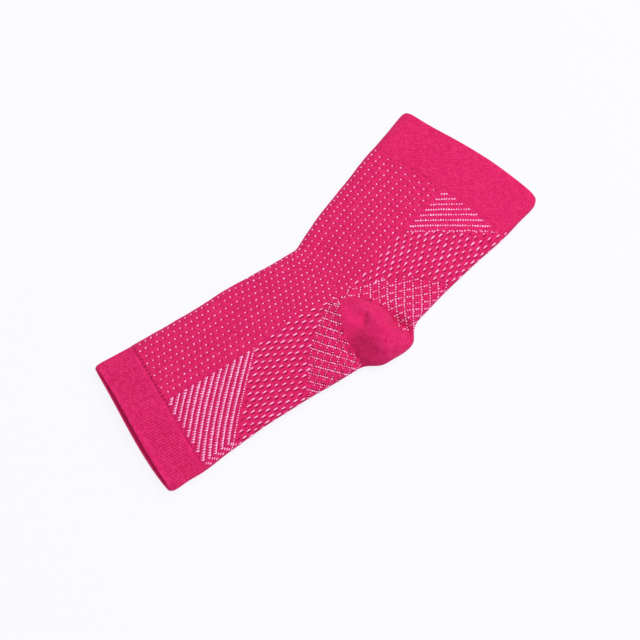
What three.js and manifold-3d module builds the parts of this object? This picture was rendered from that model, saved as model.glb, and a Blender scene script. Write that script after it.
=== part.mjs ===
// Foot compression sleeve lying flat on its side: a seamless knitted tube that bends at the ankle,
// with a ribbed toe cuff, a heel pouch and a plain ankle cuff. Millimetres, +Z up. The foot lies
// along X with the toe mouth at -X, and the instep fold is on the +Y side of the sole fold.
import * as THREE from 'three';
import { mergeVertices } from 'three/addons/utils/BufferGeometryUtils.js';
import Module from 'manifold-3d';

const wasm = await Module();
wasm.setup();

// Knit walls, and the slits between one section of knit and the next
const bodyWall = 1.2;
const cuffWall = 1.5;
const sectionGap = 0.3;

// The two layers meet in round folds, each as wide as this share of its height
const foldWidthShare = 0.75;
const instepRise = 8;

// Makes the largest lean of a course line equal to its bow
const bowScale = 27 / 4;

// Toe mouth: the lower lip reaches past the upper one, by twice as much in the middle as at the folds
const lipStep = 1.05;

// Ribs of the toe cuff, counted on the flat of each layer and on each quarter round of a fold
const flatRibs = 46;
const foldRibs = 6;
const ribDepth = 0.3;

const tableRows = (columns, rows) =>
  rows.map((row) => Object.fromEntries(columns.map((name, i) => [name, row[i]])));

// Course lines, the knitted rounds of the tube, from toe mouth to ankle mouth. Each runs from a
// point on the instep fold to one on the sole fold. soleRise is the height of the sole fold, crown
// is how far the upper layer swells above its folds, and bow is how far the line leans towards
// the ankle, at most two thirds of the way to the sole.
const courseLines = tableRows(
  ['line', 'instepX', 'instepY', 'soleX', 'soleY', 'soleRise', 'crown', 'bow'],
  [
    ['toe edge', -120.3, 0.7, -121.2, -73.7, 8, 3, -1.7],
    ['toe lip', -118.3, 1.7, -118.7, -74.8, 8, 3, -1.7],
    ['toe cuff middle', -109, 1.4, -110.5, -74.5, 8, 2.5, -1.2],
    ['toe cuff end', -99.1, 1, -100.9, -74.6, 8, 2, -0.5],
    ['ball', -83.5, 0.8, -85.9, -73, 8, 1.5, 0],
    ['front arch', -70.1, 0.6, -72.2, -71.8, 8, 1.5, 0],
    ['arch', -56.9, 0.7, -57.9, -71.3, 8, 1.5, 0],
    ['rear arch', -43.5, 1.1, -43, -71.1, 8, 1.5, 0],
    ['before heel', -30.6, 0.8, -28, -71.3, 8, 1.5, 0],
    ['heel start', -18.1, 0.3, -13.5, -71.5, 8, 1.5, 0],
    ['heel front', -9.5, 0.2, -5, -72.2, 7.5, 1.5, 0],
    ['heel swell', -3.5, 0.2, 2.8, -76.2, 7, 1.5, 0],
    ['instep kink', 0.3, 0.4, 10.2, -76.6, 6.5, 1.5, 0],
    ['heel tip', 4.2, 2.3, 17.2, -76.5, 6, 1.5, 0],
    ['heel back', 8.4, 4.4, 22.9, -74.7, 6, 1.5, 0],
    ['heel end', 13, 6.6, 26.4, -70, 7, 1.5, 0],
    ['tendon start', 18, 9, 30.5, -66.7, 8, 1.5, 0],
    ['tendon', 27.5, 12.8, 41, -63.9, 8, 1.5, 0],
    ['ankle', 36.5, 16.1, 53, -61, 8, 1.5, 0.5],
    ['upper ankle', 47.7, 20.3, 68, -57.8, 8, 1.5, 1],
    ['below cuff', 59, 24.9, 83, -55, 8, 1.5, 1.5],
    ['ankle cuff start', 66.5, 27.2, 95, -52.7, 8, 1.5, 2],
    ['ankle cuff middle', 78.5, 31.3, 107.5, -49.6, 8, 1.5, 2],
    ['ankle lip', 89.4, 35.2, 117.9, -46.9, 8, 1.5, 2.2],
    ['ankle edge', 92, 35.2, 121.3, -44.2, 8, 1.5, 2.3],
  ],
);

// Edges of the heel pouch, from its top between the two patterned panels down past the sole fold
const heelRows = tableRows(
  ['row', 'y', 'footSideX', 'ankleSideX'],
  [
    ['top', -36.5, 3, 6.5],
    ['shoulder', -41, 0.3, 12],
    ['upper', -46, -2.3, 16.3],
    ['middle', -52, -4.8, 19.7],
    ['lower', -58, -5.5, 21],
    ['base', -66, -5.4, 21],
    ['fold', -79, -6.4, 23],
  ],
);

// The pouch swells above the upper layer, with its crest towards the ankle side
const heelPuff = 6.5;
const heelCrestBias = 1.5;

// Folds of the upper layer, each along a line between two points: dents have a depth above zero,
// ridges one below zero
const folds = tableRows(
  ['fold', 'fromX', 'fromY', 'toX', 'toY', 'depth', 'radius'],
  [
    ['heel dimple', 6, -53.8, 8, -51.8, 1.7, 2.1],
    ['heel hollow', 4.5, -50, 5, -55, 0.6, 5],
    ['heel facet', 0.5, -41.5, -1, -49, -1.9, 4],
    ['heel crest', 13, -69, 18, -67, -1.5, 6],
    ['heel ridge', 2, -60.5, 6.5, -71, -1.2, 3.6],
    ['heel valley', -8.5, -62, -6, -77, 2.2, 3],
    ['ankle side crease', 21, -60.5, 24.4, -69.2, 3.4, 2.8],
    ['kink crease', 2, -3, 11, -9, 1.3, 3.5],
  ],
);

const lineIndex = (name) => courseLines.findIndex((row) => row.line === name);
const lastLine = courseLines.length - 1;
const lineCurve = (pick) => new THREE.CatmullRomCurve3(courseLines.map(pick));
const instepCurve = lineCurve((row) => new THREE.Vector3(row.instepX, row.instepY, instepRise));
const soleCurve = lineCurve((row) => new THREE.Vector3(row.soleX, row.soleY, row.soleRise));
const formCurve = lineCurve((row) => new THREE.Vector3(row.crown, row.bow, 0));

// Course line at any place between the rows of the table
function courseLineAt(place) {
  const share = place / lastLine;
  const instep = instepCurve.getPoint(share);
  const sole = soleCurve.getPoint(share);
  const form = formCurve.getPoint(share);
  const start = new THREE.Vector2(instep.x, instep.y);
  const across = new THREE.Vector2(sole.x, sole.y).sub(start);
  const width = across.length();
  across.divideScalar(width);
  const along = new THREE.Vector2(-across.y, across.x);
  return { start, across, along, width, soleRise: sole.z, crown: form.x, bow: form.y };
}

// Height that the heel pouch adds to the upper layer
function heelSwell(x, y) {
  const top = heelRows[0].y;
  const bottom = heelRows[heelRows.length - 1].y;
  if (y >= top || y <= bottom) return 0;
  const lower = heelRows.findIndex((row) => row.y < y);
  const above = heelRows[lower - 1];
  const below = heelRows[lower];
  const mix = (above.y - y) / (above.y - below.y);
  const footSide = THREE.MathUtils.lerp(above.footSideX, below.footSideX, mix);
  const ankleSide = THREE.MathUtils.lerp(above.ankleSideX, below.ankleSideX, mix);
  const side = THREE.MathUtils.clamp((x - footSide) / (ankleSide - footSide), 0, 1);
  const down = (top - y) / (top - bottom);
  return heelPuff * Math.sin(Math.PI * side ** heelCrestBias) * Math.sin(Math.PI * down);
}

// Depth that the folds take off the upper layer
function foldDepth(x, y) {
  const place = new THREE.Vector3(x, y, 0);
  const nearest = new THREE.Vector3();
  let depth = 0;
  for (const fold of folds) {
    const from = new THREE.Vector3(fold.fromX, fold.fromY, 0);
    const to = new THREE.Vector3(fold.toX, fold.toY, 0);
    new THREE.Line3(from, to).closestPointToPoint(place, true, nearest);
    const reach = place.distanceTo(nearest) / fold.radius;
    depth += fold.depth * Math.exp(-reach * reach);
  }
  return depth;
}

// Stops round a course line: up the instep fold, over the upper layer, round the sole fold, back
// under the lower layer and up to the instep fold again
function ringStops(foldSteps, upperSteps, lowerSteps) {
  const quarter = Math.PI / 2;
  const run = (count, stopAt) => Array.from({ length: count }, (_, i) => stopAt(i / count));
  return [
    ...run(foldSteps, (t) => ({ fold: 'instep', turn: quarter * t })),
    ...run(upperSteps, (t) => ({ layer: 'upper', across: t })),
    ...run(2 * foldSteps, (t) => ({ fold: 'sole', turn: quarter * (1 - 2 * t) })),
    ...run(lowerSteps, (t) => ({ layer: 'lower', across: 1 - t })),
    ...run(foldSteps, (t) => ({ fold: 'instep', turn: quarter * (t - 1) })),
  ];
}

// Point of the knit at one stop of a course line, inset from its outer face
function knitPoint(line, stop, inset, lipShift) {
  const instepRound = instepRise * foldWidthShare;
  const soleRound = line.soleRise * foldWidthShare;
  let reach;
  let height;
  let lift;
  if (stop.fold) {
    const atInstep = stop.fold === 'instep';
    const rise = atInstep ? instepRise : line.soleRise;
    const round = atInstep ? instepRound : soleRound;
    const inward = inset + (round - inset) * (1 - Math.cos(stop.turn));
    reach = atInstep ? inward : line.width - inward;
    height = rise / 2 + (rise / 2 - inset) * Math.sin(stop.turn);
    lift = Math.max(0, Math.sin(stop.turn));
  } else {
    const upper = stop.layer === 'upper';
    const swell = line.crown * Math.sin(Math.PI * stop.across) ** 2;
    reach = THREE.MathUtils.lerp(instepRound, line.width - soleRound, stop.across);
    height = upper ? THREE.MathUtils.lerp(instepRise, line.soleRise, stop.across) + swell - inset : inset;
    lift = upper ? 1 : 0;
  }
  const share = reach / line.width;
  const lipReach = lipShift * lift * (1 + Math.sin(Math.PI * share));
  const lean = line.bow * bowScale * share * share * (1 - share) + lipReach;
  const plan = line.start.clone();
  plan.addScaledVector(line.across, reach);
  plan.addScaledVector(line.along, lean);
  const relief = heelSwell(plan.x, plan.y) - foldDepth(plan.x, plan.y);
  return new THREE.Vector3(plan.x, plan.y, height + lift * relief);
}

// Closed wall of knit through a run of course lines: outer face, inner face and both end rims
function knitTube({ places, stops, wall, grooveAt = () => 0, lipShiftAt = () => 0 }) {
  const points = [];
  const faces = [];
  const count = stops.length;
  for (const place of places) {
    const line = courseLineAt(place);
    const lipShift = lipShiftAt(place);
    stops.forEach((stop, i) => points.push(knitPoint(line, stop, grooveAt(i), lipShift)));
    stops.forEach((stop) => points.push(knitPoint(line, stop, wall, lipShift)));
  }
  const outer = (row, i) => row * 2 * count + (i % count);
  const inner = (row, i) => outer(row, i) + count;
  const quad = (a, b, c, d) => faces.push(a, b, c, a, c, d);
  const lastRow = places.length - 1;
  for (let i = 0; i < count; i++) {
    for (let row = 0; row < lastRow; row++) {
      quad(outer(row, i), outer(row, i + 1), outer(row + 1, i + 1), outer(row + 1, i));
      quad(inner(row, i), inner(row + 1, i), inner(row + 1, i + 1), inner(row, i + 1));
    }
    quad(outer(0, i), inner(0, i), inner(0, i + 1), outer(0, i + 1));
    quad(outer(lastRow, i), outer(lastRow, i + 1), inner(lastRow, i + 1), inner(lastRow, i));
  }
  const geometry = new THREE.BufferGeometry().setFromPoints(points);
  geometry.setIndex(faces);
  return geometry;
}

// Places from one named course line to another, each interval of the table cut into equal steps.
// A run that starts with a slit keeps clear of the section before it.
function placesBetween(first, last, steps, slit = 0) {
  const start = lineIndex(first);
  const count = (lineIndex(last) - start) * steps;
  const places = Array.from({ length: count + 1 }, (_, i) => start + i / steps);
  const interval = courseLineAt(start).start.distanceTo(courseLineAt(start + 1).start);
  places[0] += slit / interval;
  return places;
}

function toSolid(geometry) {
  const vertProperties = Float32Array.from(geometry.attributes.position.array);
  const triVerts = Uint32Array.from(geometry.index.array);
  return new wasm.Manifold(new wasm.Mesh({ numProp: 3, vertProperties, triVerts }));
}

function toGeometry(solid) {
  const { vertProperties, triVerts } = solid.getMesh();
  const geometry = new THREE.BufferGeometry();
  geometry.setAttribute('position', new THREE.BufferAttribute(Float32Array.from(vertProperties), 3));
  geometry.setIndex(new THREE.BufferAttribute(Uint32Array.from(triVerts), 1));
  return geometry;
}

// Upright block between the heel's edges, drawn in from them by the given inset
function heelBlock(inset) {
  const blockHeight = 60;
  const footSide = heelRows.map((row) => new THREE.Vector2(row.footSideX + inset, row.y - inset));
  const ankleSide = heelRows.map((row) => new THREE.Vector2(row.ankleSideX - inset, row.y - inset));
  const outline = new THREE.Shape([...footSide, ...ankleSide.reverse()]);
  const geometry = new THREE.ExtrudeGeometry(outline, { depth: blockHeight, bevelEnabled: false });
  geometry.translate(0, 0, -blockHeight / 2);
  geometry.deleteAttribute('normal');
  geometry.deleteAttribute('uv');
  return mergeVertices(geometry);
}

function knitMesh(name, geometry, color, roughness) {
  geometry.computeVertexNormals();
  const mesh = new THREE.Mesh(geometry, new THREE.MeshStandardMaterial({ color, roughness, metalness: 0 }));
  mesh.name = name;
  return mesh;
}

function toeCuff() {
  const end = lineIndex('toe cuff end');
  const geometry = knitTube({
    places: placesBetween('toe edge', 'toe cuff end', 1),
    stops: ringStops(2 * foldRibs, 2 * flatRibs, 2 * flatRibs),
    wall: cuffWall,
    grooveAt: (i) => (i % 2) * ribDepth,
    lipShiftAt: (place) => lipStep * (1 - place / end),
  });
  return knitMesh('toe_cuff', geometry, 0xde2e6b, 0.9);
}

function ankleCuff() {
  const geometry = knitTube({
    places: placesBetween('ankle cuff start', 'ankle edge', 2, sectionGap),
    stops: ringStops(4, 16, 4),
    wall: cuffWall,
  });
  return knitMesh('ankle_cuff', geometry, 0xe32c6b, 0.85);
}

// Body and heel pouch are one tube of knit, parted along the edges of the heel
function bodyAndHeel() {
  const tube = toSolid(knitTube({
    places: placesBetween('toe cuff end', 'ankle cuff start', 2, sectionGap),
    stops: ringStops(4, 18, 4),
    wall: bodyWall,
  }));
  const body = tube.subtract(toSolid(heelBlock(0)));
  const heel = tube.intersect(toSolid(heelBlock(sectionGap)));
  return [
    knitMesh('sleeve_body', toGeometry(body), 0xdf306d, 0.9),
    knitMesh('heel_pocket', toGeometry(heel), 0xdb2a68, 0.9),
  ];
}

// The origin is under the middle of the sleeve, on the surface that it lies on
const sleeve = new THREE.Group();
sleeve.add(toeCuff(), ...bodyAndHeel(), ankleCuff());
const box = new THREE.Box3().setFromObject(sleeve);
const middle = box.getCenter(new THREE.Vector3());
sleeve.position.set(-middle.x, -middle.y, -box.min.z);

export default sleeve;
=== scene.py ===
import math
import bpy
import numpy as np
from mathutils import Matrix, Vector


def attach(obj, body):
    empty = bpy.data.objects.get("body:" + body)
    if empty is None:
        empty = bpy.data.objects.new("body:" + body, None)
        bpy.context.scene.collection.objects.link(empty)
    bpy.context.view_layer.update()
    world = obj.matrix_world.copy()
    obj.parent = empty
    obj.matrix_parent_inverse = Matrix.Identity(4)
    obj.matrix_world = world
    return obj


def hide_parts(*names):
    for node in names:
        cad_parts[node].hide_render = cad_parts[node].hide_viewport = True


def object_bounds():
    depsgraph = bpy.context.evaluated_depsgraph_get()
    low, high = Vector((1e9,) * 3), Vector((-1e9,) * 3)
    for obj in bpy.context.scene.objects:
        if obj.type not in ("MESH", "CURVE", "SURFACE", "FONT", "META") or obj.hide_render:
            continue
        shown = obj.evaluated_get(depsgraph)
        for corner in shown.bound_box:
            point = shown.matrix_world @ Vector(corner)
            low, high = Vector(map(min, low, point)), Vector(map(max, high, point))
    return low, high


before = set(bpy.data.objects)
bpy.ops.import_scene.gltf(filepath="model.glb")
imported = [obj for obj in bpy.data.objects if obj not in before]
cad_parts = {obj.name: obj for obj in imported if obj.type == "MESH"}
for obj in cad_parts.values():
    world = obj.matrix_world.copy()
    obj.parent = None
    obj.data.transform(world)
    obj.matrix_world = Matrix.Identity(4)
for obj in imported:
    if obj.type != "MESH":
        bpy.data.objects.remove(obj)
cadBox = [list(corner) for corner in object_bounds()]
mm = 0.001  # the form below is in millimetres, the scene in metres
dice = np.random.default_rng(11)
print("frame loaded:", len(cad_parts), "nodes")

sideWales, dottedWales = 84, 40  # wales on one side of the tube, and those of its dotted panel
allWales = 2 * sideWales
coursesPerRow = 4  # courses from one dot row to the next

# The tube lies flat, folded along the instep and the sole. A course line is one row of knit seen from above:
# its dot row, where it meets the two folds, the rise of the sole fold, the crown between the folds, its bow
# towards the ankle and the reach of the dotted panel from the instep. The bow is largest two thirds of the
# way to the sole. Everything is measured from the kink of the instep.
sleeveForm = {
    "instepRise": 8,
    "foldWidthShare": 0.75,  # width of a fold's round over its height
    "lipStep": 1.05,  # the upper toe lip stands back by up to twice this
    "floorClearance": 0.5,  # room for the stitches under the lower layer
    "toeCuffRow": -14.8,
    "foldSamples": 25,  # places that a ring is laid through in each fold and between the folds
    "flatSamples": 59,
    "columns": ("dotRow", "instepX", "instepY", "soleX", "soleY", "soleRise", "crown", "bow", "panelReach"),
    "courseLines": (
        (-21, -120.3, 0.7, -121.2, -73.7, 8, 3, -1.7, 36),  # toe edge
        (-20.5, -118.3, 1.7, -118.7, -74.8, 8, 3, -1.7, 36),  # toe lip
        (-17.8, -109, 1.4, -110.5, -74.5, 8, 2.5, -1.2, 36),  # toe cuff middle
        (-14.8, -99.1, 1, -100.9, -74.6, 8, 2, -0.5, 35.8),  # toe cuff end
        (-10.1, -83.5, 0.8, -85.9, -73, 8, 1.5, 0, 35.7),  # ball
        (-6.1, -70.1, 0.6, -72.2, -71.8, 8, 1.5, 0, 35.6),  # front arch
        (-2.1, -56.9, 0.7, -57.9, -71.3, 8, 1.5, 0, 35.7),  # arch
        (1.9, -43.5, 1.1, -43, -71.1, 8, 1.5, 0, 35.6),  # rear arch
        (5.8, -30.6, 0.8, -28, -71.3, 8, 1.5, 0, 35.1),  # before heel
        (9.7, -18.1, 0.3, -13.5, -71.5, 8, 1.5, 0, 34.3),  # heel start
        (12.2, -9.5, 0.2, -5, -72.2, 7.5, 1.5, 0, 34.5),  # heel front
        (14.2, -3.5, 0.2, 2.8, -76.2, 7, 1.5, 0, 35.1),  # heel swell
        (15.7, 0.3, 0.4, 10.2, -76.6, 6.5, 1.5, 0, 35.8),  # instep kink
        (17.2, 4.2, 2.3, 17.2, -76.5, 6, 1.5, 0, 37.3),  # heel tip
        (18.7, 8.4, 4.4, 22.9, -74.7, 6, 1.5, 0, 38.5),  # heel back
        (20.2, 13, 6.6, 26.4, -70, 7, 1.5, 0, 39.6),  # heel end
        (21.7, 18, 9, 30.5, -66.7, 8, 1.5, 0, 40.3),  # tendon start
        (24.8, 27.5, 12.8, 41, -63.9, 8, 1.5, 0, 41.4),  # tendon
        (28, 36.5, 16.1, 53, -61, 8, 1.5, 0.5, 41.8),  # ankle
        (32, 47.7, 20.3, 68, -57.8, 8, 1.5, 1, 42.8),  # upper ankle
        (36, 59, 24.9, 83, -55, 8, 1.5, 1.5, 44.4),  # below cuff
        (38.5, 66.5, 27.2, 95, -52.7, 8, 1.5, 2, 44.8),  # ankle cuff start
        (42.2, 78.5, 31.3, 107.5, -49.6, 8, 1.5, 2, 44.8),  # ankle cuff middle
        (45.5, 89.4, 35.2, 117.9, -46.9, 8, 1.5, 2.2, 44.8),  # ankle lip
        (46.2, 92, 35.2, 121.3, -44.2, 8, 1.5, 2.3, 44),  # ankle edge
    ),
    "heelPuff": 6.5,
    "heelCrestBias": 1.5,  # above 1 the crest stands nearer the ankle
    "heelEdges": (  # y, x of the foot side, x of the ankle side
        (-36.5, 3, 6.5),
        (-41, 0.3, 12),
        (-46, -2.3, 16.3),
        (-52, -4.8, 19.7),
        (-58, -5.5, 21),
        (-66, -5.4, 21),
        (-79, -6.4, 23),
    ),
    "dents": (  # from x, y, to x, y, depth, radius
        (6, -53.8, 8, -51.8, 1.7, 2.1),  # heel dimple
        (4.5, -50, 5, -55, 0.6, 5),  # hollow round it
        (0.5, -41.5, -1, -49, -1.9, 4),  # raised facet above it
        (13, -69, 18, -67, -1.5, 6),  # raised crest below it
        (2, -60.5, 6.5, -71, -1.2, 3.6),  # ridge above the valley
        (-8.5, -62, -6, -77, 2.2, 3),  # valley on the foot side of the heel
        (21, -60.5, 24.4, -69.2, 3.4, 2.8),  # crease on its ankle side
        (2, -3, 11, -9, 1.3, 3.5),  # crease at the kink
    ),
}
bowScale = 27 / 4  # makes the largest lean of a course line equal to its bow
waleStep, rowStep = 0.5, 0.125  # fineness of the surface that is laid out once and then looked up


def smoothBetween(knots, values, places):
    # a curve through every knot, with the slope of its neighbours
    gaps = np.diff(knots)[:, None]
    slopes = np.diff(values, axis=0) / gaps
    tangents = np.empty_like(values)
    tangents[0], tangents[-1] = slopes[0], slopes[-1]
    tangents[1:-1] = (values[2:] - values[:-2]) / (gaps[:-1] + gaps[1:])
    at = np.clip(np.searchsorted(knots, places) - 1, 0, len(knots) - 2)
    part = ((places - knots[at]) / gaps[at, 0])[:, None]
    square, cube = part**2, part**3
    ends = (2 * cube - 3 * square + 1) * values[at] + (3 * square - 2 * cube) * values[at + 1]
    pulls = (cube - 2 * square + part) * tangents[at] + (cube - square) * tangents[at + 1]
    return ends + gaps[at] * pulls


def courseLinesAt(dotRows):
    table = np.array(sleeveForm["courseLines"], float)
    values = smoothBetween(table[:, 0], table[:, 1:], np.asarray(dotRows, float))
    return dict(zip(sleeveForm["columns"][1:], values.T))


def heelEdgesAt(y):
    table = np.array(sleeveForm["heelEdges"], float)[::-1]
    sides = smoothBetween(table[:, 0], table[:, 1:], np.clip(y, table[0, 0], table[-1, 0]).ravel())
    return sides[:, 0].reshape(y.shape), sides[:, 1].reshape(y.shape)


def heelSwellAt(x, y):
    top, bottom = sleeveForm["heelEdges"][0][0], sleeveForm["heelEdges"][-1][0]
    footSide, ankleSide = heelEdgesAt(y)
    side = np.clip((x - footSide) / (ankleSide - footSide), 0, 1)
    down = np.clip((top - y) / (top - bottom), 0, 1)
    crest = np.sin(np.pi * side ** sleeveForm["heelCrestBias"])
    return sleeveForm["heelPuff"] * crest * np.sin(np.pi * down)


def dentDepthAt(x, y):
    total = np.zeros_like(x)
    for fromX, fromY, toX, toY, depth, radius in sleeveForm["dents"]:
        runX, runY = toX - fromX, toY - fromY
        share = np.clip(((x - fromX) * runX + (y - fromY) * runY) / (runX**2 + runY**2), 0, 1)
        away = np.hypot(x - fromX - share * runX, y - fromY - share * runY) / radius
        total += depth * np.exp(-(away**2))
    return total


def foldedWales(wales):
    # wales of the lower layer counted from the instep, like those of the upper one
    return np.where(wales > sideWales, allWales - wales, wales)


def layRing(line, wales):
    # one course all round the tube: wales run over the upper layer to the sole fold, then back underneath
    width = math.hypot(line["soleX"] - line["instepX"], line["soleY"] - line["instepY"])
    turn = np.linspace(0, np.pi / 2, sleeveForm["foldSamples"])
    flat = np.linspace(0, 1, sleeveForm["flatSamples"] + 2)[1:-1]
    share = sleeveForm["foldWidthShare"]
    rise, soleRise = sleeveForm["instepRise"], line["soleRise"]
    instepRound, soleRound = rise * share, soleRise * share
    outward, upward = 1 - np.cos(turn), np.sin(turn)

    def joined(instepFold, middle, soleFold):
        return np.concatenate([instepFold, middle, soleFold[::-1]])

    between = instepRound + (width - soleRound - instepRound) * flat
    reach = joined(instepRound * outward, between, width - soleRound * outward)
    top = rise + (soleRise - rise) * flat + line["crown"] * np.sin(np.pi * flat) ** 2
    upper = joined(rise / 2 * (1 + upward), top, soleRise / 2 * (1 + upward))
    lower = joined(rise / 2 * (1 - upward), np.zeros_like(flat), soleRise / 2 * (1 - upward))
    lift = joined(upward, np.ones_like(flat), upward)
    below = wales > sideWales
    folded = foldedWales(wales)
    ringReach, ringHeight, ringLift = [np.empty_like(wales) for _ in range(3)]
    for layer, height, liftShare in ((~below, upper, 1), (below, lower, 0)):
        arc = np.concatenate([[0], np.cumsum(np.hypot(np.diff(reach), np.diff(height)))])
        panelArc = np.interp(line["panelReach"], reach, arc)
        place = np.interp(folded[layer], [0, dottedWales, sideWales], [0, panelArc, arc[-1]])
        ringReach[layer] = np.interp(place, arc, reach)
        ringHeight[layer] = np.interp(place, arc, height)
        ringLift[layer] = np.interp(place, arc, lift) * liftShare
    acrossX = (line["soleX"] - line["instepX"]) / width
    acrossY = (line["soleY"] - line["instepY"]) / width
    part = ringReach / width
    lean = line["bow"] * bowScale * part**2 * (1 - part)
    lean += line["lipShift"] * (1 + np.sin(np.pi * part)) * ringLift
    x = line["instepX"] + acrossX * ringReach - acrossY * lean
    y = line["instepY"] + acrossY * ringReach + acrossX * lean
    z = ringHeight + ringLift * (heelSwellAt(x, y) - dentDepthAt(x, y))
    z += sleeveForm["floorClearance"] * (1 - ringLift)
    return np.stack([x, y, z], axis=1)


def unit(vectors):
    return vectors / np.linalg.norm(vectors, axis=-1, keepdims=True)


def layKnit():
    firstRow, lastRow = sleeveForm["courseLines"][0][0], sleeveForm["courseLines"][-1][0]
    rows = np.arange(firstRow, lastRow + rowStep / 2, rowStep)
    wales = np.arange(0, allWales + waleStep / 2, waleStep)
    columns = courseLinesAt(rows)
    cuffRow = sleeveForm["toeCuffRow"]
    columns["lipShift"] = sleeveForm["lipStep"] * np.clip((cuffRow - rows) / (cuffRow - firstRow), 0, 1)
    lines = [{name: column[i] for name, column in columns.items()} for i in range(len(rows))]
    points = np.array([layRing(line, wales) for line in lines])
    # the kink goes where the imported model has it: the two boxes share a centre
    low, high = points.reshape(-1, 3).min(axis=0), points.reshape(-1, 3).max(axis=0)
    cadCentre = (np.array(cadBox[0]) + np.array(cadBox[1])) / 2 / mm
    kink = cadCentre - (low + high) / 2
    kink[2] = 0
    around = np.concatenate([points[:, -2:-1], points, points[:, 1:2]], axis=1)
    side = unit(np.gradient(around, axis=1)[:, 1:-1])
    along = unit(np.gradient(points, axis=0))
    normal = unit(np.cross(side, along))
    return np.concatenate([points, side, along, normal], axis=2), firstRow, kink


knitTable, firstRow, kinkPlace = layKnit()
print("knit laid out:", knitTable.shape[:2], "kink at", kinkPlace.round(2))


def onKnit(wales, rows):
    # place, side, along and outward direction of any wale and dot row
    column = np.mod(wales, allWales) / waleStep
    row = np.clip((rows - firstRow) / rowStep, 0, knitTable.shape[0] - 1.001)  # just inside the last row
    i, j = row.astype(int), np.minimum(column.astype(int), knitTable.shape[1] - 2)
    a, b = (row - i)[..., None], (column - j)[..., None]
    mixed = (knitTable[i, j] * (1 - b) + knitTable[i, j + 1] * b) * (1 - a)
    mixed += (knitTable[i + 1, j] * (1 - b) + knitTable[i + 1, j + 1] * b) * a
    return mixed[..., 0:3], mixed[..., 3:6], mixed[..., 6:9], mixed[..., 9:12]


# Where each pattern lies on one side, in wales from the instep and courses along the tube
panelEdge = 40.3  # wale where the dotted panel meets the sole panel
patternZones = {
    "dotPitch": ((2, 8), (4, 3.67)),  # dot rows, and wales from one dot column to the next as they lie there
    "dotWales": 4,  # the same as knitted
    "firstCourse": -57.2,
    "lastCourse": 152.4,
    "footDiagonal": ((40, 0.6), (84, -38.5)),  # stripes end here, dashes begin
    "footNetEdge": ((40, 54), (58, 27.5), (77, 14.8), (84, 10.4)),
    "ankleNetEdge": ((40, 70.4), (58, 100.4), (79, 113.2), (84, 116)),
    "ankleDiagonal": ((40, 119), (84, 157.3)),
    "heelTopRow": 15.9,  # the heel opening starts in a point at the edge of the dotted panel
    "heelSearch": (8, 26, 0.02),  # dot rows that hold the heel opening, and the step through them
    "footDashStart": 3,  # courses past the diagonals where dashes, and the painted pit shade beside them, start or end
    "footPitStart": 2,
    "ankleDashEnd": 0.6,
    "anklePitEnd": 1,
    "soleMargin": 0.6,  # wales by which the sole's patterns reach into the dotted panel
    "toeJointFade": (50, 10),  # the wale where the pits at the toe joint end, and how many they fade over
    "dottedDrift": ((24, 29, 38), (0, -2.15, -1.4)),  # dot rows, and courses that stitches bend by midway
    "soleDrift": ((4, 10, 18, 24), (-1, -2, 1.5, 2)),
}


def zoneLine(name, wales):
    stops = np.array(patternZones[name], float)
    return np.interp(wales, stops[:, 0], stops[:, 1])


def stitchDrift(wales, rows):
    # courses by which the rows of stitches bend away from straight course lines
    folded = foldedWales(wales)
    drift = 0
    for name, across in (
        ("dottedDrift", folded / panelEdge),
        ("soleDrift", (folded - panelEdge) / (sideWales - panelEdge)),
    ):
        drift = drift + np.interp(rows, *patternZones[name]) * np.sin(np.pi * np.clip(across, 0, 1))
    return drift


def heelOpening(wales):
    # dot rows where the heel opening starts and ends on each wale
    starts, ends = [np.full(len(wales), patternZones["heelTopRow"]) for _ in range(2)]
    rows = np.arange(*patternZones["heelSearch"])
    for i, wale in enumerate(foldedWales(wales)):
        if wale <= dottedWales:
            continue
        place = onKnit(np.full(len(rows), wale), rows)[0]
        footSide, ankleSide = heelEdgesAt(place[:, 1])
        inside = (place[:, 0] > footSide) & (place[:, 0] < ankleSide)
        found = rows[inside & (place[:, 1] < sleeveForm["heelEdges"][0][0])]
        if len(found):
            starts[i], ends[i] = found[0], found[-1]
    return starts, ends


# Unevenness of cloth that was laid down by hand: the height of each wave, and the two sines that make it, as
# turns for each dot row and each wale and a start
clothWaves = (
    (0.14, (0.62, 0.11, 0), (-0.21, 0.17, 1.4)),
    (0.07, (1.7, 0, 0.6), (0, 0.31, 2)),
)


def undulation(wales, rows):
    total = 0
    for height, *sines in clothWaves:
        for perRow, perWale, start in sines:
            height = height * np.sin(rows * perRow + wales * perWale + start)
        total = total + height
    return total


def edgeSink(distance, width=0.6, depth=0.12):
    # an edge of knit turns in a little where it meets the next section
    return -depth * np.clip(1 - distance / width, 0, 1) ** 2


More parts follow.
